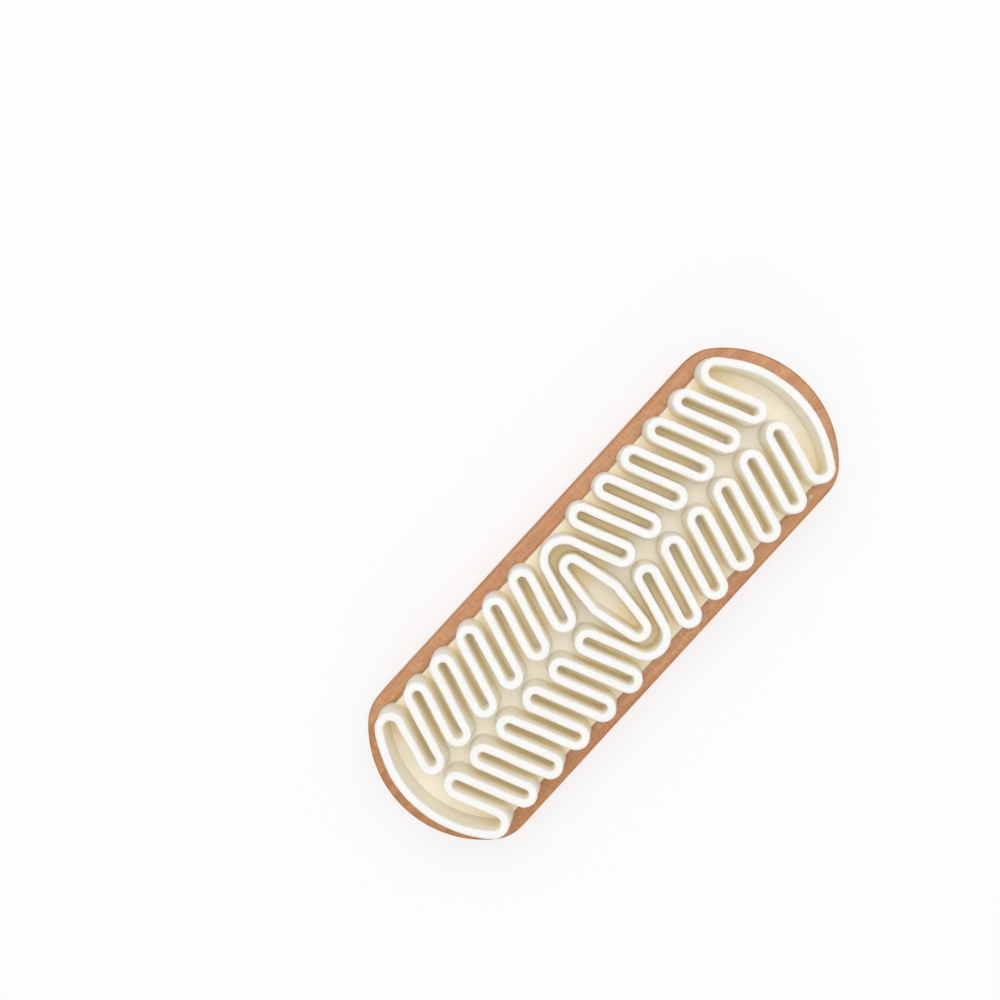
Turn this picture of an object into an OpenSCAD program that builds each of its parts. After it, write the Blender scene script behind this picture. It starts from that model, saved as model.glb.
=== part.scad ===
// Suede brush: a rounded hardwood block with a moulded crepe-rubber pad glued to its face.
// The brush lies on its wooden back. X runs along it, Y across it and Z up to the rubber ribs.
// The origin is at the middle of the flat back.

/* [Wooden block] */
// Length of the block from end to end
block_length = 125; // [112:0.5:140]
// Width of the block across its straight sides
block_width = 41.5; // [38:0.25:46]
// Thickness of the block
block_thickness = 19; // [12:0.5:28]
// Radius of the bowed ends, seen from above
block_end_radius = 24.7; // [23.5:0.1:34]
// Radius that joins each bowed end to a straight side
block_corner_radius = 9; // [6:0.25:13]
// Roundover along the edge of the back
back_edge_radius = 2; // [0.5:0.25:4]
// Small roundover along the edge of the rubber side
face_edge_radius = 0.5; // [0.2:0.1:1.5]

/* [Glue] */
// Thickness of the glue layer between block and pad
glue_thickness = 0.2; // [0.1:0.05:0.5]
// How far the glue stays inside the edge of the pad's plate
glue_setback = 0.5; // [0.2:0.1:2]

/* [Rubber plate] */
// Thickness of the plate that carries the ribs
plate_thickness = 2.5; // [1.5:0.25:5]
// How far the outer loops stand out past the plate's straight sides
loop_overhang = 0.8; // [0.4:0.1:1.2]
// How far the plate's ends stay inside the outer face of the end ribs
plate_end_setback = 0.4; // [0.2:0.1:1]

/* [Ribs] */
// Height of the ribs above the plate
rib_height = 11.5; // [5:0.5:13]
// Thickness of a rib at its crest
rib_crest_width = 1.8; // [1.4:0.1:2.2]
// Slope of each rib wall, in degrees from upright
rib_draft = 1; // [0.5:0.25:2]
// Radius along both edges of the crest
rib_crest_radius = 0.4; // [0.2:0.05:0.6]
// Bare wood between the outer loops and the block's straight sides
side_rim = 2.95; // [2:0.05:5]
// Bare wood between the end ribs and the block's ends, on the centre line
end_rim = 4.3; // [3:0.1:7]
// Gap along the centre line between facing inner loops
spine_gap = 1.4; // [0.8:0.1:3]
// Inner loops in each quarter of the pad
loops_per_quarter = 6; // [4:1:7]
// Distance from the middle of the brush to the first inner loop
first_loop_x = 9.1; // [8.5:0.1:11]
// Distance from the last inner loop to the end rib, on the centre line
end_loop_room = 8.2; // [7:0.1:12]
// Lean of the long walls towards the middle of the brush, in degrees
wall_lean = 19.2; // [14:0.2:24]

/* [End ribs] */
// Radius of the bowed rib at each end, along its middle
end_rib_radius = 25; // [23:0.5:32]
// Radius of the wide loop at each corner, along its middle
corner_loop_radius = 2.35; // [2.1:0.05:3]

/* [Middle] */
// Radius of the two round bulges beside the diamond, along the rib's middle
bulge_radius = 4.2; // [3.6:0.1:5]
// How far the bulges stop short of the outer loops
bulge_step = 1.2; // [0.8:0.1:3]
// Gap between the diamond's points and the bulges
diamond_gap = 2.7; // [1.5:0.1:5]
// Width of the diamond over its rib, along the brush
diamond_width = 8.6; // [7.5:0.1:10]
// Radius of the diamond's two points, along the rib's middle
diamond_point_radius = 1.8; // [1.3:0.1:2.2]
// Radius of the diamond's two blunt corners, along the rib's middle
diamond_side_radius = 1.5; // [1.2:0.1:2]

/* [Hidden] */
$fn = 64;

wood_colour = [0.80, 0.58, 0.39];
glue_colour = [0.86, 0.80, 0.66];
rubber_colour = [0.95, 0.93, 0.86];

// Straight runs are a hair slimmer than bends and sink into them, so the pieces join as one body
sink = 0.1;
hair = 0.01;

// The block's corner rounds stand proud by this much, so they cross the sides at a clean angle
nudge = 0.04;
// Angle in degrees at which rounded edges meet the flat faces
edge_angle = 12;

// Levels up through the brush
pad_z = block_thickness + glue_thickness;
pad_height = plate_thickness + rib_height;

// Rib section
rib_half = rib_crest_width / 2;

// How far the middle line of the ribs reaches across and along the brush
reach_y = block_width / 2 - side_rim - rib_half;
reach_x = block_length / 2 - end_rim - rib_half;
plate_half = reach_y + rib_half - loop_overhang;

// Loops of the long walls
loop_pitch = (reach_x - end_loop_room - first_loop_x) / (loops_per_quarter - 1);
loop_radius = loop_pitch * cos(wall_lean) / 4;
inner_y = spine_gap / 2 + rib_half + loop_radius;
outer_y = reach_y - loop_radius;
wall_rise = (outer_y - inner_y - 2 * loop_radius * sin(wall_lean)) / cos(wall_lean);
outer_shift = 2 * loop_radius * cos(wall_lean) - wall_rise * sin(wall_lean);

// Wide corner loops, which touch the bowed end ribs from inside
end_rib_x = reach_x - end_rib_radius;
corner_y = reach_y - corner_loop_radius;
corner_x = end_rib_x + sqrt(pow(end_rib_radius - corner_loop_radius, 2) - pow(corner_y, 2));

// Bulges and diamond
bulge_y = reach_y - bulge_step - bulge_radius;
diamond_reach = bulge_y + bulge_radius - 2 * rib_half - diamond_gap;
diamond_half = diamond_width / 2 - rib_half;

// Circles that a quarter of the outer rib bends round, in order: [x, y, radius], left turns positive
outer_rib = concat(
    [[0, bulge_y, -bulge_radius]],
    [for (i = [0 : 2 * loops_per_quarter - 2])
        let (x = first_loop_x + floor(i / 2) * loop_pitch)
        i % 2 == 0 ? [x, inner_y, loop_radius] : [x + outer_shift, outer_y, -loop_radius]],
    [[corner_x, corner_y, -corner_loop_radius], [end_rib_x, 0, -end_rib_radius]]
);

// The same for a quarter of the diamond
diamond_rib = [
    [0, diamond_reach - diamond_point_radius, -diamond_point_radius],
    [diamond_half - diamond_side_radius, 0, -diamond_side_radius]
];

// Compass heading of the straight run that leaves circle a and meets circle b
function run_heading(a, b) =
    let (way = atan2(b.y - a.y, b.x - a.x), apart = norm([b.x - a.x, b.y - a.y]))
    way - asin(max(-1, min(1, (b.z - a.z) / apart)));

// Point of circle c that is passed on a heading
function on_circle(c, heading) = [c.x + c.z * sin(heading), c.y - c.z * cos(heading)];

// Section of a rib: drafted sides, a flat foot and a crest with rounded edges
module rib_section(slim) {
    crest_x = rib_half - rib_crest_radius - slim;
    crest_y = pad_height - rib_crest_radius * cos(edge_angle);
    side_x = crest_x + rib_crest_radius * cos(rib_draft);
    side_y = crest_y + rib_crest_radius * sin(rib_draft);
    foot_x = side_x + side_y * tan(rib_draft);
    intersection() {
        union() {
            polygon([
                [-foot_x, 0], [foot_x, 0], [side_x, side_y], [crest_x, crest_y], [crest_x, pad_height],
                [-crest_x, pad_height], [-crest_x, crest_y], [-side_x, side_y]
            ]);
            for (side = [-1, 1]) translate([side * crest_x, crest_y]) circle(r = rib_crest_radius);
        }
        translate([-foot_x, 0]) square([2 * foot_x, pad_height]);
    }
}

// Rib bent round circle c, from one heading to the next
module rib_bend(c, from, to, slim = 0) {
    turn = abs(to - from);
    extra = slim > 0 ? sink / abs(c.z) * 180 / PI : 0;
    first = (c.z < 0 ? to + 90 : from - 90) - extra;
    translate([c.x, c.y, 0]) rotate(first) rotate_extrude(angle = turn + 2 * extra)
        translate([abs(c.z), 0]) rib_section(slim);
}

// Straight rib from point a to point b
module rib_run(a, b) {
    translate([a.x, a.y, 0]) rotate(atan2(b.y - a.y, b.x - a.x)) translate([-sink, 0, 0])
        rotate([90, 0, 90]) linear_extrude(norm(b - a) + 2 * sink) rib_section(hair);
}

// Closed rib, the same in all four quarters. Its first circle is on the Y axis and its last on the X axis.
module rib_ring(circles) {
    last = len(circles) - 1;
    heading = [for (i = [1 : last]) run_heading(circles[i - 1], circles[i])];
    starts = [for (i = [1 : last]) on_circle(circles[i - 1], heading[i - 1])];
    ends = [for (i = [1 : last]) on_circle(circles[i], heading[i - 1])];
    bowed = norm(ends[last - 1] - starts[last - 1]) < sink;
    quarters() {
        for (i = [1 : last - 1]) rib_bend(circles[i], heading[i - 1], heading[i]);
        for (i = [0 : last - (bowed ? 2 : 1)]) rib_run(starts[i], ends[i]);
    }
    for (my = [0, 1]) mirror([0, my, 0]) rib_bend(circles[0], -heading[0], heading[0]);
    for (mx = [0, 1]) mirror([mx, 0, 0])
        rib_bend(circles[last], heading[last - 1], -180 - heading[last - 1], bowed ? hair : 0);
}

// Four mirrored copies of a quarter
module quarters() {
    for (mx = [0, 1], my = [0, 1]) mirror([mx, 0, 0]) mirror([0, my, 0]) children();
}

// Board with straight sides and bowed ends, joined by corner radii, all its edges rounded
module rounded_board(length, width, end_radius, corner_radius, thickness, low_radius, high_radius) {
    corner_y = width / 2 - corner_radius;
    swing = asin(corner_y / (end_radius - corner_radius));
    end_x = length / 2 - end_radius;
    corner_x = end_x + (end_radius - corner_radius) * cos(swing);
    meeting_y = end_radius * sin(swing);
    middle = (90 + swing) / 2;
    intersection() {
        rotate([90, 0, 90]) linear_extrude(length, center = true)
            for (m = [0, 1]) mirror([m, 0])
                edge_section(width / 2, thickness, low_radius, high_radius);
        union() {
            cube([2 * end_x, 2 * end_radius, 2 * thickness], center = true);
            for (mx = [0, 1]) mirror([mx, 0, 0]) translate([end_x, 0, 0])
                rotate_extrude() edge_section(end_radius, thickness, low_radius, high_radius);
        }
        union() {
            cube([2 * corner_x, 2 * width, 2 * thickness], center = true);
            cube([2 * length, 2 * meeting_y, 2 * thickness], center = true);
            quarters() translate([corner_x + nudge * cos(middle), corner_y + nudge * sin(middle), 0])
                rotate_extrude() edge_section(corner_radius, thickness, low_radius, high_radius);
        }
    }
}

// Section of a board from its middle to its outer face, with both edges rounded
module edge_section(half, thickness, low_radius, high_radius) {
    low_x = half - low_radius;
    high_x = half - high_radius;
    low_y = low_radius * cos(edge_angle);
    high_y = thickness - high_radius * cos(edge_angle);
    intersection() {
        union() {
            polygon([
                [0, 0], [low_x, 0], [low_x, low_y], [half, low_y],
                [half, high_y], [high_x, high_y], [high_x, thickness], [0, thickness]
            ]);
            translate([low_x, low_y]) circle(r = low_radius);
            translate([high_x, high_y]) circle(r = high_radius);
        }
        square([2 * half, thickness]);
    }
}

// Layer with the plate's outline, drawn in from the plate's edge all round
module plate_layer(thickness, setback) {
    width = 2 * (plate_half - setback);
    end_radius = end_rib_radius + rib_half - plate_end_setback - setback;
    linear_extrude(thickness) {
        square([2 * end_rib_x, width], center = true);
        for (mx = [0, 1]) mirror([mx, 0]) intersection() {
            translate([end_rib_x, 0]) circle(r = end_radius);
            square([block_length, width], center = true);
        }
    }
}

// Hardwood block, its back down
module handle_block() {
    color(wood_colour)
        rounded_board(block_length, block_width, block_end_radius, block_corner_radius,
            block_thickness, back_edge_radius, face_edge_radius);
}

// Thin layer of glue on the block's face
module glue_film() {
    color(glue_colour) translate([0, 0, block_thickness])
        plate_layer(glue_thickness, glue_setback);
}

// Moulded pad: plate, one unbroken winding rib round the edge and a diamond rib in the middle
module rubber_pad() {
    color(rubber_colour) translate([0, 0, pad_z]) {
        plate_layer(plate_thickness, 0);
        rib_ring(outer_rib);
        rib_ring(diamond_rib);
    }
}

handle_block();
glue_film();
rubber_pad();
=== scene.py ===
"""Suede brush: a lacquered beech block, a film of clear glue and a moulded crepe-rubber pad.

All sizes are in metres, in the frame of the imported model: X runs along the brush, Y across it
and Z up from the flat wooden back to the crest of the ribs.
"""

from __future__ import annotations

import logging
import math
from dataclasses import dataclass, field
from enum import Enum
from typing import Any, Callable, Iterable, Union

import bmesh
import bpy
from mathutils import Matrix, Vector, noise


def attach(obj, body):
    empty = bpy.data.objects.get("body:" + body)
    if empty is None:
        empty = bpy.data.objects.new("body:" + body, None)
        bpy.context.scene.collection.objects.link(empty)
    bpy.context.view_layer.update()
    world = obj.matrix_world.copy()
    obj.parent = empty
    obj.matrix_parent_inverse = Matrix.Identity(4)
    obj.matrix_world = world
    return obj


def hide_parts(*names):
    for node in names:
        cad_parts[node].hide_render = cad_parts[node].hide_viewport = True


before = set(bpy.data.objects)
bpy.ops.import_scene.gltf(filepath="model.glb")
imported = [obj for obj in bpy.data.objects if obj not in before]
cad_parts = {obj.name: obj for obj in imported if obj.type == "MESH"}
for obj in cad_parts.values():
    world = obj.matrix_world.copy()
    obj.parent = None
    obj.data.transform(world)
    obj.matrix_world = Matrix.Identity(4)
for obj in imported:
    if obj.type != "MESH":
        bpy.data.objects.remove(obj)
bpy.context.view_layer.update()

MM = 0.001
WELD = 1e-6
NOISE_SEED = 7
LOG = logging.getLogger("suede_brush")

Colour = tuple[float, float, float, float]
Value = Union["Link", float, tuple]


class Slot(Enum):
    """Material slots of the record."""

    BEECH = "beech_wood"
    GLUE = "clear_glue"
    RUBBER = "crepe_rubber"


class Link:
    """One output of a shader node. Arithmetic on it adds Math nodes."""

    def __init__(self, graph: Graph, socket: bpy.types.NodeSocket) -> None:
        """Keeps the graph and the output socket."""
        self.graph = graph
        self.socket = socket

    def output(self, name: str) -> Link:
        """Another output of the same node."""
        return Link(self.graph, self.socket.node.outputs[name])

    def math(self, operation: str, *values: Value) -> Link:
        """A Math node over the given values."""
        return self.graph.node("ShaderNodeMath", {"operation": operation}, dict(enumerate(values)))

    def __add__(self, other: Value) -> Link:
        """Sum."""
        return self.math("ADD", self, other)

    def __sub__(self, other: Value) -> Link:
        """Difference."""
        return self.math("SUBTRACT", self, other)

    def __rsub__(self, other: Value) -> Link:
        """Difference from a number."""
        return self.math("SUBTRACT", other, self)

    def __mul__(self, other: Value) -> Link:
        """Product."""
        return self.math("MULTIPLY", self, other)

    def __truediv__(self, other: Value) -> Link:
        """Quotient."""
        return self.math("DIVIDE", self, other)

    def __pow__(self, other: Value) -> Link:
        """Power."""
        return self.math("POWER", self, other)

    __radd__ = __add__
    __rmul__ = __mul__

    def fraction(self) -> Link:
        """The part after the decimal point."""
        return self.math("FRACT", self)

    def size(self) -> Link:
        """The value without its sign."""
        return self.math("ABSOLUTE", self)

    def between(self, low: float, high: float) -> Link:
        """A smooth step from 0 at low to 1 at high.

        Args:
            low: Value at which the step starts.
            high: Value at which the step is complete. It may be below low.

        Returns:
            The stepped value, from 0 to 1.
        """
        return self.graph.node(
            "ShaderNodeMapRange",
            {"interpolation_type": "SMOOTHSTEP", "clamp": True},
            {"Value": self, "From Min": low, "From Max": high},
        )


class Graph:
    """The node graph of one material or of the world."""

    def __init__(self, tree: bpy.types.NodeTree) -> None:
        """Empties the tree and keeps it."""
        self.tree = tree
        tree.nodes.clear()

    def node(
        self,
        kind: str,
        settings: dict[str, Any] | None = None,
        inputs: dict[str | int, Value] | None = None,
        output: str | int = 0,
    ) -> Link:
        """Adds a node.

        Args:
            kind: Blender's name of the node type.
            settings: Properties that are set first. "stops" fills a colour ramp.
            inputs: Links or plain values by socket name or number.
            output: The output that is returned.

        Returns:
            The chosen output.
        """
        made = self.tree.nodes.new(kind)
        for name, value in (settings or {}).items():
            if name == "stops":
                self.fill_ramp(made, value)
            else:
                setattr(made, name, value)
        for key, value in (inputs or {}).items():
            if isinstance(value, Link):
                self.tree.links.new(value.socket, made.inputs[key])
            else:
                made.inputs[key].default_value = value
        return Link(self, made.outputs[output])

    def fill_ramp(self, ramp: bpy.types.Node, stops: Iterable[tuple[float, Colour]]) -> None:
        """Gives a colour ramp its stops, in order.

        Args:
            ramp: The Color Ramp node.
            stops: Place from 0 to 1 and colour of each stop, at least two.
        """
        elements = ramp.color_ramp.elements
        for number, (place, colour) in enumerate(stops):
            element = elements[number] if number < 2 else elements.new(place)
            element.position, element.color = place, colour

    def ramp(self, factor: Link, stops: Iterable[tuple[float, Colour]]) -> Link:
        """A colour ramp over a value."""
        return self.node("ShaderNodeValToRGB", {"stops": list(stops)}, {"Fac": factor})

    def blend(self, factor: Value, first: Value, second: Value, kind: str = "MIX") -> Link:
        """Mixes two colours.

        Args:
            factor: 0 keeps the first colour and 1 gives the second.
            first: Colour at 0.
            second: Colour at 1.
            kind: Blender's name of the blend type.

        Returns:
            The mixed colour.
        """
        settings = {"data_type": "RGBA", "blend_type": kind, "clamp_factor": True}
        return self.node("ShaderNodeMix", settings, {0: factor, 6: first, 7: second}, output=2)

    def vector(self, operation: str, *values: Value, output: str | int = 0) -> Link:
        """A Vector Math node over the given vectors."""
        settings = {"operation": operation}
        return self.node("ShaderNodeVectorMath", settings, dict(enumerate(values)), output)

    def millimetres(self) -> Link:
        """Place on the object in millimetres."""
        place = self.node("ShaderNodeTexCoord", output="Object")
        return self.vector("MULTIPLY", place, (1 / MM,) * 3)

    def noise(
        self,
        where: Link,
        stretch: tuple[float, float, float],
        detail: float = 3.0,
        roughness: float = 0.55,
        output: str = "Fac",
    ) -> Link:
        """Noise over a place.

        Args:
            where: Place in millimetres.
            stretch: Bumps per millimetre along each axis.
            detail: Octaves.
            roughness: Weight of the finer octaves.
            output: Fac or Color.

        Returns:
            The noise, about 0.5 on average.
        """
        return self.node(
            "ShaderNodeTexNoise",
            {"noise_dimensions": "3D"},
            {
                "Vector": self.vector("MULTIPLY", where, stretch),
                "Scale": 1.0,
                "Detail": detail,
                "Roughness": roughness,
            },
            output,
        )

    def cells(self, where: Link, stretch: tuple[float, float, float]) -> Link:
        """Distance to the nearest of scattered points, 0 at each point."""
        return self.node(
            "ShaderNodeTexVoronoi",
            {"feature": "F1"},
            {"Vector": self.vector("MULTIPLY", where, stretch), "Scale": 1.0},
            "Distance",
        )

    def surface(self, inputs: dict[str | int, Value], height: Link, depth: float) -> None:
        """Ends the graph in a Principled surface.

        Args:
            inputs: Sockets of the Principled shader.
            height: Relief of the surface, from 0 to 1.
            depth: Depth of the relief in metres.
        """
        bump = self.node("ShaderNodeBump", None, {"Strength": 1.0, "Distance": depth, "Height": height})
        shader = self.node("ShaderNodeBsdfPrincipled", None, {**inputs, "Normal": bump})
        self.node_output(shader)

    def node_output(self, shader: Link, kind: str = "ShaderNodeOutputMaterial") -> None:
        """Links a shader to the output node."""
        out = self.tree.nodes.new(kind)
        self.tree.links.new(shader.socket, out.inputs["Surface"])


def new_material(name: str) -> tuple[bpy.types.Material, Graph]:
    """Makes an empty node material.

    Args:
        name: Name of the material.

    Returns:
        The material and its graph.
    """
    material = bpy.data.materials.new(name)
    material.use_nodes = True
    return material, Graph(material.node_tree)


@dataclass(frozen=True)
class BeechFinish:
    """Satin clear lacquer over fine-grained beech that runs along X."""

    pale: Colour = (0.645, 0.325, 0.125, 1.0)
    warm: Colour = (0.510, 0.210, 0.066, 1.0)
    rust: Colour = (0.600, 0.225, 0.052, 1.0)
    ring: Colour = (0.420, 0.160, 0.046, 1.0)
    fleck: Colour = (0.260, 0.086, 0.024, 1.0)
    shine: Colour = (0.780, 0.475, 0.240, 1.0)
    end_tint: Colour = (0.80, 0.72, 0.68, 1.0)
    # Painted shade, multiplied into the face under the pad and the upper sides.
    face_shade: Colour = (0.945, 0.90, 0.86, 1.0)
    pith: tuple[float, float, float] = (0.0, -34.0, -52.0)
    ring_gap: float = 2.6

    def make(self) -> bpy.types.Material:
        """Builds the wood with its rings, streaks, fibres and short ray flecks, a painted lighter back
        and a painted darker face.

        Returns:
            The material.
        """
        material, g = new_material("lacquered_beech")
        mm = g.millimetres()
        sway = g.vector("SUBTRACT", g.noise(mm, (0.012, 0.03, 0.03), 2.0, output="Color"), (0.5,) * 3)
        wavy = g.vector("ADD", mm, g.vector("MULTIPLY", sway, (0.0, 4.5, 4.5)))

        from_pith = g.vector("MULTIPLY", g.vector("SUBTRACT", wavy, self.pith), (0.0, 1.0, 1.0))
        radius = g.vector("LENGTH", from_pith, output="Value")
        phase = radius / self.ring_gap + 0.5 * g.noise(mm, (0.02, 0.25, 0.25), 2.0)
        year = phase.fraction()
        late_wood = year.between(0.15, 0.9) * year.between(1.0, 0.93)

        streaks = g.noise(wavy, (0.018, 0.55, 0.55), 3.0)
        fibres = g.noise(wavy, (0.28, 4.2, 4.2), 3.0, 0.65)
        ticks = g.cells(wavy, (0.55, 3.0, 3.0)).between(0.34, 0.12)
        gate = g.noise(mm, (0.05, 0.16, 0.16), 2.0).between(0.36, 0.58)
        glints = g.cells(wavy, (0.40, 1.7, 1.7)).between(0.40, 0.10)
        glint_gate = g.noise(mm, (0.03, 0.09, 0.09), 1.0).between(0.50, 0.66)
        patches = g.noise(mm, (0.03, 0.07, 0.07), 2.0)
        figure = g.noise(mm, (1.5, 0.30, 0.30), 3.0, 0.7).between(0.40, 0.72)
        rusty = g.noise(mm, (0.10, 0.38, 0.38), 3.0).between(0.56, 0.78)
        height = g.node("ShaderNodeSeparateXYZ", None, {0: mm}).output("Z")

        colour = g.blend(streaks.between(0.30, 0.72), self.pale, self.warm)
        colour = g.blend(patches.between(0.35, 0.75) * 0.45, colour, self.pale)
        colour = g.blend(figure * patches.between(0.35, 0.62) * 0.45, colour, self.shine)
        colour = g.blend(rusty * 0.45, colour, self.rust)
        # Painted light: the back and its roundover, below 5 mm, are lifted towards the shine colour, a
        # lit copy of the wood with a painted sheen.
        colour = g.blend(height.between(5.0, 0.5) * 0.38, colour, self.shine)
        colour = g.blend(late_wood * 0.28, colour, self.ring)
        colour = g.blend(fibres.between(0.46, 0.74) * 0.42, colour, self.fleck)
        colour = g.blend(ticks * gate * 0.65, colour, self.fleck)
        colour = g.blend(glints * glint_gate * 0.40, colour, self.shine)

        normal = g.node("ShaderNodeTexCoord", output="Normal")
        end_grain = g.node("ShaderNodeSeparateXYZ", None, {0: normal}).size() ** 2.0
        pores = g.noise(mm, (3.5, 3.5, 3.5), 2.0, 0.7).between(0.52, 0.70)
        colour = g.blend(end_grain * 0.75, colour, self.end_tint, "MULTIPLY")
        colour = g.blend(end_grain * pores * 0.30, colour, self.fleck)
        # Painted shade: the face under the pad and the sides above 12 mm are multiplied darker, a
        # shaded copy of the wood.
        colour = g.blend(height.between(12.0, 18.0), colour, self.face_shade, "MULTIPLY")

        relief = 1.0 - (fibres * 0.5 + ticks * gate * 0.6)
        g.surface(
            {
                "Base Color": colour,
                "Roughness": 0.40 + 0.16 * fibres,
                "Specular IOR Level": 0.35,
                "Coat Weight": 0.22,
                "Coat Roughness": 0.14,
            },
            relief,
            0.00003,
        )
        return material


@dataclass(frozen=True)
class CrepeFinish:
    """Matt off-white crepe rubber, warmer down in the slots from painted shade, with a faint painted
    glow. Heights and fades are in millimetres.
    """

    crest: Colour = (0.960, 0.950, 0.915, 1.0)
    wall: Colour = (0.970, 0.932, 0.830, 1.0)
    # Darker floor colour: partly the rubber's own tone, partly painted shade.
    floor: Colour = (0.900, 0.860, 0.765, 1.0)
    stain: Colour = (0.760, 0.670, 0.510, 1.0)
    # Painted shade: darker, warmer colour for the deep channels between the loops.
    slot: Colour = (0.900, 0.810, 0.625, 1.0)
    # Painted glow: emission colours by height and in the slots, standing in for light scattered through
    # the rubber.
    deep_glow: Colour = (0.024, 0.020, 0.014, 1.0)
    wall_glow: Colour = (0.070, 0.067, 0.058, 1.0)
    crest_glow: Colour = (0.012, 0.012, 0.010, 1.0)
    slot_glow: Colour = (0.048, 0.041, 0.022, 1.0)
    floor_z: float = 21.7
    crest_z: float = 33.2
    spine_fade: tuple[float, float] = (2.5, 5.0)
    side_fade: tuple[float, float] = (17.4, 16.2)
    end_fade: tuple[float, float] = (54.0, 50.0)
    depth_fade: tuple[float, float] = (32.2, 25.2)

    def make(self) -> bpy.types.Material:
        """Builds the rubber. Its colour, with painted shade, and a painted glow that stands in for
        light scattered through the rubber follow the height and the slots.

        Returns:
            The material.
        """
        material, g = new_material("crepe_rubber_moulded")
        mm = g.millimetres()
        place = g.node("ShaderNodeSeparateXYZ", None, {0: mm})
        along, across, height = place.size(), place.output("Y").size(), place.output("Z")
        # in_slot marks the deep channels between the loops, where shade and a glow are painted.
        in_slot = across.between(*self.spine_fade) * across.between(*self.side_fade)
        in_slot = in_slot * along.between(*self.end_fade) * height.between(*self.depth_fade)
        cloud = g.noise(mm, (0.22, 0.22, 0.22), 3.0)
        grain = g.noise(mm, (2.6, 2.6, 2.6), 3.0, 0.6)
        specks = g.cells(mm, (0.45, 0.45, 0.45)).between(0.10, 0.03)

        # Darker towards the floor: partly the rubber's own warmer tone, partly painted shade down
        # between the ribs.
        rise = (height + 1.2 * (cloud - 0.5)).between(self.floor_z - 1.0, self.crest_z - 2.5)
        colour = g.blend(rise, self.floor, self.wall)
        # Painted shade: the channels take the darker, warmer slot colour.
        colour = g.blend(in_slot, colour, self.slot)
        colour = g.blend(height.between(self.crest_z - 1.6, self.crest_z - 0.3), colour, self.crest)
        colour = g.blend(cloud.between(0.45, 0.85) * 0.16, colour, self.stain)
        colour = g.blend(grain.between(0.50, 0.85) * 0.06, colour, self.stain)
        colour = g.blend(specks * 0.25, colour, self.stain)
        # Painted glow: faint on the floor and crest, strongest on the walls and in the slots.
        level = (height - self.floor_z) / (self.crest_z - self.floor_z)
        low, high = (0.0, self.deep_glow), (1.0, self.crest_glow)
        glow = g.ramp(level, (low, (0.40, self.wall_glow), (0.88, self.wall_glow), high))
        glow = g.blend(in_slot, glow, self.slot_glow)
        g.surface(
            {
                "Base Color": colour,
                "Roughness": 0.55 + 0.15 * grain,
                "Subsurface Weight": 0.35,
                "Subsurface Radius": (1.0, 0.85, 0.7),
                "Subsurface Scale": 0.0015,
                "Emission Color": glow,
                "Emission Strength": 1.0,
            },
            grain * 0.7 + cloud * 0.3,
            0.00006,
        )
        return material


@dataclass(frozen=True)
class GlueFinish:
    """Thin translucent contact adhesive, pale amber where it gathers."""

    thin: Colour = (0.800, 0.740, 0.600, 1.0)
    thick: Colour = (0.640, 0.500, 0.320, 1.0)

    def make(self) -> bpy.types.Material:
        """Builds the glue, cloudy and slightly glossy.

        Returns:
            The material.
        """
        material, g = new_material("dried_clear_glue")
        mm = g.millimetres()
        cloud = g.noise(mm, (0.8, 0.8, 0.8), 3.0)
        ripples = g.noise(mm, (2.5, 2.5, 2.5), 2.0)
        colour = g.blend(cloud.between(0.35, 0.70), self.thin, self.thick)
        g.surface(
            {"Base Color": colour, "Roughness": 0.25 + 0.2 * ripples, "Coat Weight": 0.3},
            ripples,
            0.00005,
        )
        return material


class Pen:
    """Sweeps vertices and edges along straight runs and bends, as a pen draws an outline."""

    def __init__(self, bm: bmesh.types.BMesh, geometry: list) -> None:
        """Takes the vertices and edges that the pen carries."""
        self.bm = bm
        self.geometry = geometry

    def run(self, way: Vector, steps: int = 1) -> None:
        """Extrudes straight ahead.

        Args:
            way: The whole way, as a vector.
            steps: Equal parts that the run is cut into.
        """
        for _ in range(steps):
            edges = [g for g in self.geometry if isinstance(g, bmesh.types.BMEdge)]
            if edges:
                moved = bmesh.ops.extrude_edge_only(self.bm, edges=edges)["geom"]
            else:
                moved = bmesh.ops.extrude_vert_indiv(self.bm, verts=self.geometry)["verts"]
            verts = [g for g in moved if isinstance(g, bmesh.types.BMVert)]
            bmesh.ops.translate(self.bm, verts=verts, vec=way / steps)
            last = set(verts)
            links = [g for g in moved if isinstance(g, bmesh.types.BMEdge) and set(g.verts) <= last]
            self.geometry = verts + (links if edges else [])

    def bend(self, centre: Vector, angle: float, steps: int) -> None:
        """Spins about an upright axis.

        Args:
            centre: A point on the axis.
            angle: Turn in radians, positive to the left.
            steps: Equal parts that the bend is cut into.
        """
        spun = bmesh.ops.spin(
            self.bm,
            geom=self.geometry,
            cent=centre,
            axis=(0.0, 0.0, 1.0),
            dvec=(0.0, 0.0, 0.0),
            angle=angle,
            steps=steps,
            use_merge=False,
            use_duplicate=False,
        )
        self.geometry = spun["geom_last"]


@dataclass
class Bend:
    """A circle that a path bends round. Its radius is positive for a left turn."""

    x: float
    y: float
    radius: float

    def centre(self) -> Vector:
        """The middle of the circle."""
        return Vector((self.x, self.y, 0.0))

    def heading_to(self, other: Bend) -> float:
        """Finds the straight run that leaves this circle and meets the other.

        Args:
            other: The next circle of the path.

        Returns:
            Heading of the run in radians.
        """
        apart = other.centre() - self.centre()
        lean = max(-1.0, min(1.0, (other.radius - self.radius) / apart.length))
        return math.atan2(apart.y, apart.x) - math.asin(lean)

    def point(self, heading: float) -> Vector:
        """The point of the circle that is passed on a heading."""
        side = Vector((math.sin(heading), -math.cos(heading), 0.0))
        return self.centre() + self.radius * side

    def turn(self, before: float, after: float) -> float:
        """Turn in radians from one heading to the next, on this circle's side."""
        left = (after - before) % math.tau
        return left if self.radius > 0 else left - math.tau


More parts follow.
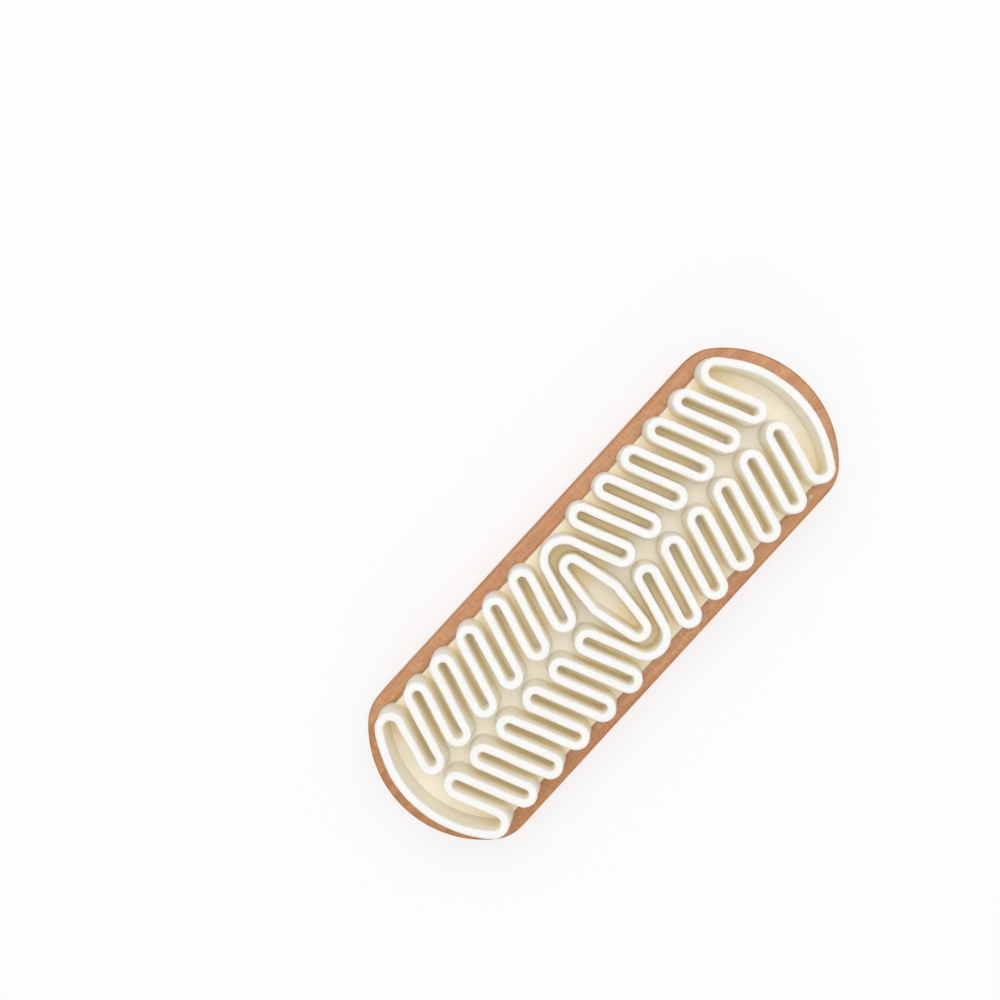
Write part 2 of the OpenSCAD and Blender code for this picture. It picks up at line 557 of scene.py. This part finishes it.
def finish_mesh(bm: bmesh.types.BMesh, name: str) -> bpy.types.Object:
    """Welds a bmesh, turns its faces outwards and makes it an object.

    Args:
        bm: The mesh, which is freed.
        name: Name of the object.

    Returns:
        A smooth-shaded object that rides on the brush.
    """
    bmesh.ops.remove_doubles(bm, verts=bm.verts[:], dist=WELD)
    bmesh.ops.recalc_face_normals(bm, faces=bm.faces[:])
    mesh = bpy.data.meshes.new(name)
    bm.to_mesh(mesh)
    bm.free()
    mesh.shade_smooth()
    piece = bpy.data.objects.new(name, mesh)
    bpy.context.scene.collection.objects.link(piece)
    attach(piece, "root")
    return piece


def dress(piece: bpy.types.Object, material: bpy.types.Material) -> None:
    """Gives a piece its looks.

    Args:
        piece: The piece.
        material: Its only material.
    """
    piece.data.materials.clear()
    piece.data.materials.append(material)


def waver(bm: bmesh.types.BMesh, shift: Callable[[Vector], Vector]) -> None:
    """Moves every vertex by a shift that follows its place."""
    for vert in bm.verts:
        vert.co += shift(vert.co)


@dataclass
class WoodenBlock:
    """Beech block with straight sides and bowed ends."""

    length: float = 125 * MM
    width: float = 41.5 * MM
    thickness: float = 19 * MM
    end_radius: float = 24.7 * MM
    corner_radius: float = 9 * MM
    back_edge: float = 2 * MM
    face_edge: float = 0.5 * MM
    face_inset: float = 0.35 * MM
    finish: BeechFinish = field(default_factory=BeechFinish)

    def outline(self, bm: bmesh.types.BMesh) -> None:
        """Draws the closed outline at the height of the back.

        Args:
            bm: The mesh that takes the outline's vertices and edges.
        """
        corner_y = self.width / 2 - self.corner_radius
        end_x = self.length / 2 - self.end_radius
        swing = math.asin(corner_y / (self.end_radius - self.corner_radius))
        corner_x = end_x + (self.end_radius - self.corner_radius) * math.cos(swing)
        pen = Pen(bm, [bm.verts.new((-corner_x, -self.width / 2, 0.0))])
        for side in (1.0, -1.0):
            pen.run(Vector((2 * corner_x * side, 0.0, 0.0)), 24)
            pen.bend(Vector((corner_x * side, -corner_y * side, 0.0)), math.pi / 2 - swing, 12)
            pen.bend(Vector((end_x * side, 0.0, 0.0)), 2 * swing, 48)
            pen.bend(Vector((corner_x * side, corner_y * side, 0.0)), math.pi / 2 - swing, 12)
        bmesh.ops.remove_doubles(bm, verts=bm.verts[:], dist=WELD)

    def build(self) -> bpy.types.Object:
        """Raises the outline to the block and rounds its edges.

        Returns:
            The dressed block.
        """
        bm = bmesh.new()
        self.outline(bm)
        bmesh.ops.contextual_create(bm, geom=bm.edges[:])
        raised = bmesh.ops.extrude_face_region(bm, geom=bm.faces[:])["geom"]
        tops = [g for g in raised if isinstance(g, bmesh.types.BMVert)]
        bmesh.ops.translate(bm, verts=tops, vec=(0.0, 0.0, self.thickness))
        bmesh.ops.recalc_face_normals(bm, faces=bm.faces[:])
        self.round_edges(bm, 0.0, self.back_edge, 8)
        self.round_edges(bm, self.thickness, self.face_edge, 4)
        caps = [f for f in bm.faces if abs(f.normal.z) > 0.99]
        bmesh.ops.inset_region(bm, faces=caps, thickness=self.face_inset, use_even_offset=True)
        block = finish_mesh(bm, "wooden_block")
        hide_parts("handle_block")
        dress(block, self.finish.make())
        return block

    def round_edges(self, bm: bmesh.types.BMesh, level: float, radius: float, segments: int) -> None:
        """Rounds the edge loop at one height.

        Args:
            bm: The mesh.
            level: Height of the loop.
            radius: Radius of the roundover.
            segments: Facets across the roundover.
        """
        loop = [
            e
            for e in bm.edges
            if all(abs(v.co.z - level) < WELD for v in e.verts)
            and any(abs(f.normal.z) < 0.5 for f in e.link_faces)
        ]
        bmesh.ops.bevel(
            bm,
            geom=loop,
            offset=radius,
            offset_type="OFFSET",
            segments=segments,
            profile=0.5,
            affect="EDGES",
            clamp_overlap=True,
            material=-1,
        )


@dataclass
class GlueLine:
    """The glue film and one small bead that was squeezed out of it."""

    bead_place: tuple[float, float] = (45.2 * MM, -18.4 * MM)
    bead_size: tuple[float, float, float] = (0.62 * MM, 0.50 * MM, 0.30 * MM)
    bead_base: float = 19 * MM
    finish: GlueFinish = field(default_factory=GlueFinish)

    def build(self) -> bpy.types.Object:
        """Dresses the film and drops the bead on the rim of the block.

        Returns:
            The bead.
        """
        material = self.finish.make()
        dress(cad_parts["glue_film"], material)
        bm = bmesh.new()
        bmesh.ops.create_icosphere(bm, subdivisions=4, radius=1.0)
        waver(bm, lambda co: co * 0.22 * noise.noise(co * 1.3 + Vector((3.0, 1.0, 7.0))))
        bmesh.ops.scale(bm, verts=bm.verts[:], vec=self.bead_size)
        place = (*self.bead_place, self.bead_base + 0.1 * MM)
        bmesh.ops.translate(bm, verts=bm.verts[:], vec=place)
        bead = finish_mesh(bm, "glue_bead")
        dress(bead, material)
        return bead


@dataclass
class RubberPad:
    """Moulded pad: a plate, one unbroken winding rib and a diamond rib."""

    block: WoodenBlock
    base: float = 19.2 * MM
    plate: float = 2.5 * MM
    rib_height: float = 11.5 * MM
    crest_width: float = 1.8 * MM
    crest_radius: float = 0.42 * MM
    draft: float = math.radians(1.0)
    side_rim: float = 2.95 * MM
    end_rim: float = 4.3 * MM
    overhang: float = 0.8 * MM
    end_setback: float = 0.4 * MM
    spine_gap: float = 1.4 * MM
    loops: int = 6
    first_loop: float = 9.1 * MM
    end_room: float = 8.2 * MM
    lean: float = math.radians(19.2)
    end_rib_radius: float = 25 * MM
    corner_loop: float = 2.35 * MM
    bulge: float = 4.2 * MM
    bulge_step: float = 1.2 * MM
    diamond_gap: float = 2.7 * MM
    diamond_width: float = 8.6 * MM
    diamond_point: float = 1.8 * MM
    diamond_side: float = 1.5 * MM
    foot_height: float = 1.2 * MM
    foot_flare: float = 0.25 * MM
    run_step: float = 1.2 * MM
    bend_step: float = 0.42 * MM
    crest_band: float = 3 * MM
    dip_band: float = 1.5 * MM
    plate_edge: float = 0.35 * MM
    plate_inset: float = 0.3 * MM
    finish: CrepeFinish = field(default_factory=CrepeFinish)

    def __post_init__(self) -> None:
        """Works out where the ribs' middle line reaches."""
        self.half = self.crest_width / 2
        self.crest = self.base + self.plate + self.rib_height
        self.reach_y = self.block.width / 2 - self.side_rim - self.half
        self.reach_x = self.block.length / 2 - self.end_rim - self.half
        self.end_rib_x = self.reach_x - self.end_rib_radius
        self.bulge_y = self.reach_y - self.bulge_step - self.bulge

    def winding_quarter(self) -> list[Bend]:
        """Works out a quarter of the winding rib, from the bulge to the end rib.

        Returns:
            The circles that its middle line bends round, in order.
        """
        pitch = (self.reach_x - self.end_room - self.first_loop) / (self.loops - 1)
        radius = pitch * math.cos(self.lean) / 4
        inner_y = self.spine_gap / 2 + self.half + radius
        outer_y = self.reach_y - radius
        rise = (outer_y - inner_y - 2 * radius * math.sin(self.lean)) / math.cos(self.lean)
        shift = 2 * radius * math.cos(self.lean) - rise * math.sin(self.lean)
        bends = [Bend(0.0, self.bulge_y, -self.bulge)]
        for i in range(self.loops):
            x = self.first_loop + i * pitch
            bends.append(Bend(x, inner_y, radius))
            if i < self.loops - 1:
                bends.append(Bend(x + shift, outer_y, -radius))
        corner_y = self.reach_y - self.corner_loop
        reach = self.end_rib_radius - self.corner_loop
        corner_x = self.end_rib_x + math.sqrt(reach**2 - corner_y**2)
        bends.append(Bend(corner_x, corner_y, -self.corner_loop))
        bends.append(Bend(self.end_rib_x, 0.0, -self.end_rib_radius))
        return bends

    def diamond_quarter(self) -> list[Bend]:
        """Works out a quarter of the diamond, from its point to its blunt corner.

        Returns:
            The circles that its middle line bends round, in order.
        """
        reach = self.bulge_y + self.bulge - 2 * self.half - self.diamond_gap
        across = self.diamond_width / 2 - self.half
        return [
            Bend(0.0, reach - self.diamond_point, -self.diamond_point),
            Bend(across - self.diamond_side, 0.0, -self.diamond_side),
        ]

    def section(self, bm: bmesh.types.BMesh) -> list:
        """Makes the rib's section in the plane across the X axis.

        Args:
            bm: The mesh.

        Returns:
            The vertices and edges of the closed section.
        """
        bmesh.ops.create_grid(bm, x_segments=1, y_segments=1, size=0.5)
        tall = self.plate + self.rib_height
        bmesh.ops.scale(bm, verts=bm.verts[:], vec=(self.crest_width, tall, 1.0))
        bmesh.ops.translate(bm, verts=bm.verts[:], vec=(0.0, self.base + tall / 2, 0.0))
        bmesh.ops.bevel(
            bm,
            geom=[v for v in bm.verts if v.co.y > self.crest - WELD],
            offset=self.crest_radius,
            offset_type="OFFSET",
            segments=5,
            profile=0.5,
            affect="VERTICES",
            clamp_overlap=True,
            material=-1,
        )
        foot_top = self.base + self.plate + self.foot_height
        for level in (self.base + self.plate, foot_top, self.crest - self.crest_band):
            geometry = bm.verts[:] + bm.edges[:] + bm.faces[:]
            bmesh.ops.bisect_plane(bm, geom=geometry, plane_co=(0, level, 0), plane_no=(0, 1, 0))
        for vert in bm.verts:
            depth = self.crest - self.crest_radius - vert.co.y
            foot = max(0.0, 1 - (vert.co.y - self.base - self.plate) / self.foot_height)
            grow = max(0.0, depth) * math.tan(self.draft) + self.foot_flare * min(foot, 1.0) ** 2
            vert.co.x += math.copysign(grow, vert.co.x)
        crown = [e for e in bm.edges if all(v.co.y > self.crest - WELD for v in e.verts)]
        bmesh.ops.subdivide_edges(bm, edges=crown, cuts=3)
        bmesh.ops.delete(bm, geom=bm.faces[:], context="FACES_ONLY")
        rungs = [
            e
            for e in bm.edges
            if abs(e.verts[0].co.x + e.verts[1].co.x) < WELD
            and self.base + WELD < e.verts[0].co.y < self.crest - WELD
        ]
        bmesh.ops.delete(bm, geom=rungs, context="EDGES")
        turn = Matrix.Rotation(math.pi / 2, 3, "Z") @ Matrix.Rotation(math.pi / 2, 3, "X")
        bmesh.ops.rotate(bm, verts=bm.verts[:], cent=(0, 0, 0), matrix=turn)
        return bm.verts[:] + bm.edges[:]

    def rib(self, name: str, quarter: list[Bend], seed: float) -> bpy.types.Object:
        """Sweeps the section through a quarter of a closed path and mirrors it twice.

        Args:
            name: Name of the piece.
            quarter: Circles of the quarter, from the Y axis to the X axis.
            seed: Shifts the small unevenness of the rubber.

        Returns:
            The rib as one closed ring.
        """
        headings = [0.0] + [a.heading_to(b) for a, b in zip(quarter, quarter[1:])] + [-math.pi / 2]
        bm = bmesh.new()
        section = self.section(bm)
        bmesh.ops.translate(bm, verts=bm.verts[:], vec=quarter[0].point(0.0))
        pen = Pen(bm, section)
        for i, circle in enumerate(quarter):
            before, after = headings[i], headings[i + 1]
            if i:
                way = circle.point(before) - quarter[i - 1].point(before)
                if way.length > WELD:
                    pen.run(way, max(1, round(way.length / self.run_step)))
            turn = circle.turn(before, after)
            edge = (abs(circle.radius) + self.half) * abs(turn)
            pen.bend(circle.centre(), turn, max(3, round(edge / self.bend_step)))
        bmesh.ops.remove_doubles(bm, verts=bm.verts[:], dist=WELD)
        for axis in ("X", "Y"):
            geometry = bm.verts[:] + bm.edges[:] + bm.faces[:]
            bmesh.ops.mirror(bm, geom=geometry, matrix=Matrix.Identity(4), merge_dist=WELD, axis=axis)
        waver(bm, lambda co: self.unevenness(co, seed))
        return finish_mesh(bm, name)

    def unevenness(self, co: Vector, seed: float) -> Vector:
        """Small shift that soft rubber has after moulding, larger towards the crest.

        Args:
            co: Place on the rib.
            seed: Shifts the pattern.

        Returns:
            The shift of that place.
        """
        lift = max(0.0, (co.z - self.base - self.plate) / self.rib_height)
        slow = noise.noise_vector(co * 170 + Vector((seed, 0.0, 0.0)))
        quick = noise.noise_vector(co * 900 + Vector((0.0, seed, 0.0)))
        wide = Vector((slow.x, slow.y, 0.0)) * 0.16 * MM
        fine = Vector((quick.x, quick.y, 0.0)) * 0.03 * MM
        sideways = wide + fine
        dip = -abs(slow.z) * 0.10 * MM if co.z > self.crest - self.dip_band else 0.0
        return sideways * (0.15 + 0.85 * lift) + Vector((0.0, 0.0, dip))

    def plate_piece(self) -> bpy.types.Object:
        """Builds the plate under the ribs, with straight sides and bowed ends.

        Returns:
            The plate, not yet dressed.
        """
        half = self.reach_y + self.half - self.overhang
        radius = self.end_rib_radius + self.half - self.end_setback
        swing = math.asin(half / radius)
        reach = self.end_rib_x + radius * math.cos(swing)
        bm = bmesh.new()
        pen = Pen(bm, [bm.verts.new((-reach, -half, self.base))])
        for side in (1.0, -1.0):
            pen.run(Vector((2 * reach * side, 0.0, 0.0)), 40)
            pen.bend(Vector((self.end_rib_x * side, 0.0, 0.0)), 2 * swing, 40)
        bmesh.ops.remove_doubles(bm, verts=bm.verts[:], dist=WELD)
        bmesh.ops.contextual_create(bm, geom=bm.edges[:])
        raised = bmesh.ops.extrude_face_region(bm, geom=bm.faces[:])["geom"]
        tops = [g for g in raised if isinstance(g, bmesh.types.BMVert)]
        bmesh.ops.translate(bm, verts=tops, vec=(0.0, 0.0, self.plate))
        bmesh.ops.recalc_face_normals(bm, faces=bm.faces[:])
        rim = [e for e in bm.edges if all(v.co.z > self.base + self.plate - WELD for v in e.verts)]
        bmesh.ops.bevel(
            bm,
            geom=rim,
            offset=self.plate_edge,
            offset_type="OFFSET",
            segments=3,
            profile=0.5,
            affect="EDGES",
            clamp_overlap=True,
            material=-1,
        )
        caps = [f for f in bm.faces if abs(f.normal.z) > 0.99]
        bmesh.ops.inset_region(bm, faces=caps, thickness=self.plate_inset, use_even_offset=True)
        return finish_mesh(bm, "pad_plate")

    def build(self) -> list[bpy.types.Object]:
        """Builds and dresses the plate and both ribs.

        Returns:
            The three pieces.
        """
        material = self.finish.make()
        pieces = [
            self.plate_piece(),
            self.rib("winding_rib", self.winding_quarter(), 5.3),
            self.rib("diamond_rib", self.diamond_quarter(), 21.7),
        ]
        for piece in pieces:
            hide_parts("rubber_pad")
            dress(piece, material)
        return pieces


@dataclass
class Studio:
    """White table, soft light from above and a camera that looks straight down."""

    camera_place: tuple[float, float, float] = (13 * MM, 25 * MM, 429 * MM)
    view_middle: tuple[float, float, float] = (-0.2 * MM, 29.8 * MM, 19 * MM)
    camera_roll: float = math.radians(-47.45)
    focal_pixels: float = 1923.0
    picture: int = 1000
    sky: float = 0.40
    floor_glow: float = 0.70
    floor_drop: float = 0.02 * MM

    def camera(self) -> None:
        """Places the camera and shifts its lens, so that view_middle is the picture's middle."""
        data = bpy.data.cameras.new("overhead")
        data.sensor_width = 36.0
        data.lens = self.focal_pixels / self.picture * data.sensor_width
        data.clip_start, data.clip_end = 0.01, 20.0
        to_middle = Vector(self.view_middle) - Vector(self.camera_place)
        way = Matrix.Rotation(-self.camera_roll, 3, "Z") @ to_middle
        data.shift_x = way.x / -way.z * self.focal_pixels / self.picture
        data.shift_y = way.y / -way.z * self.focal_pixels / self.picture
        cam = bpy.data.objects.new("overhead", data)
        cam.location = self.camera_place
        cam.rotation_euler = (0.0, 0.0, self.camera_roll)
        bpy.context.scene.collection.objects.link(cam)
        bpy.context.scene.camera = cam

    def lamp(self, name: str, place: tuple[float, float, float], size: float, power: float) -> None:
        """Hangs a square soft light that faces the brush.

        Args:
            name: Name of the lamp.
            place: Where it hangs, in metres.
            size: Length of its side.
            power: Power in watts.
        """
        data = bpy.data.lights.new(name, "AREA")
        data.shape, data.size, data.energy = "SQUARE", size, power
        lamp = bpy.data.objects.new(name, data)
        lamp.location = place
        lamp.rotation_euler = (-Vector(place)).to_track_quat("-Z", "Y").to_euler()
        bpy.context.scene.collection.objects.link(lamp)

    def seen_directly(self, g: Graph) -> Link:
        """Tells the rays that show the background from those that light the brush.

        Args:
            g: The graph that gets the nodes.

        Returns:
            1 for camera, mirror and glass rays, otherwise 0.
        """
        path = g.node("ShaderNodeLightPath", output="Is Camera Ray")
        rays = path + path.output("Is Glossy Ray") + path.output("Is Transmission Ray")
        return rays.math("MINIMUM", rays, 1.0)

    def world(self) -> None:
        """White surroundings that light the brush evenly."""
        world = bpy.data.worlds.new("studio_white")
        world.use_nodes = True
        bpy.context.scene.world = world
        g = Graph(world.node_tree)
        seen = self.seen_directly(g)
        light = {"Color": (1.0, 1.0, 1.0, 1.0), "Strength": self.sky + (1.0 - self.sky) * seen}
        g.node_output(g.node("ShaderNodeBackground", None, light), "ShaderNodeOutputWorld")

    def floor(self) -> None:
        """Lays the white table top, which keeps a soft shadow."""
        bm = bmesh.new()
        bmesh.ops.create_grid(bm, x_segments=8, y_segments=8, size=2.5)
        bmesh.ops.translate(bm, verts=bm.verts[:], vec=(0.0, 0.0, -self.floor_drop))
        mesh = bpy.data.meshes.new("table_top")
        bm.to_mesh(mesh)
        bm.free()
        table = bpy.data.objects.new("table_top", mesh)
        bpy.context.scene.collection.objects.link(table)
        material, g = new_material("white_table")
        matt = g.node("ShaderNodeBsdfDiffuse", None, {"Color": (0.8, 0.8, 0.8, 1.0)})
        lit = g.node("ShaderNodeBsdfDiffuse", None, {"Color": (1.0 - self.floor_glow,) * 3 + (1.0,)})
        glow = g.node("ShaderNodeEmission", None, {"Color": (1.0,) * 4, "Strength": self.floor_glow})
        shown = g.node("ShaderNodeAddShader", None, {0: lit, 1: glow})
        mixed = g.node("ShaderNodeMixShader", None, {0: self.seen_directly(g), 1: matt, 2: shown})
        g.node_output(mixed)
        table.data.materials.append(material)

    def build(self) -> None:
        """Sets up the table, the lights and the camera."""
        settings = bpy.context.scene.view_settings
        settings.view_transform = "Standard"
        self.floor()
        self.world()
        self.lamp("window", place=(0.17, 0.16, 1.3), size=0.9, power=10.1)
        self.lamp("bounce", place=(-0.6, -0.5, 0.9), size=0.8, power=1.0)
        self.camera()


def report(pieces: Iterable[bpy.types.Object]) -> None:
    """Logs the size of each piece."""
    for piece in pieces:
        LOG.info("%s: %d faces", piece.name, len(piece.data.polygons))


def main() -> None:
    """Builds the brush and the studio in order."""
    logging.basicConfig(level=logging.INFO, format="%(name)s: %(message)s")
    noise.seed_set(NOISE_SEED)
    block = WoodenBlock()
    report([block.build()])
    report([GlueLine().build()])
    report(RubberPad(block).build())
    Studio().build()


if __name__ == "__main__":
    main()
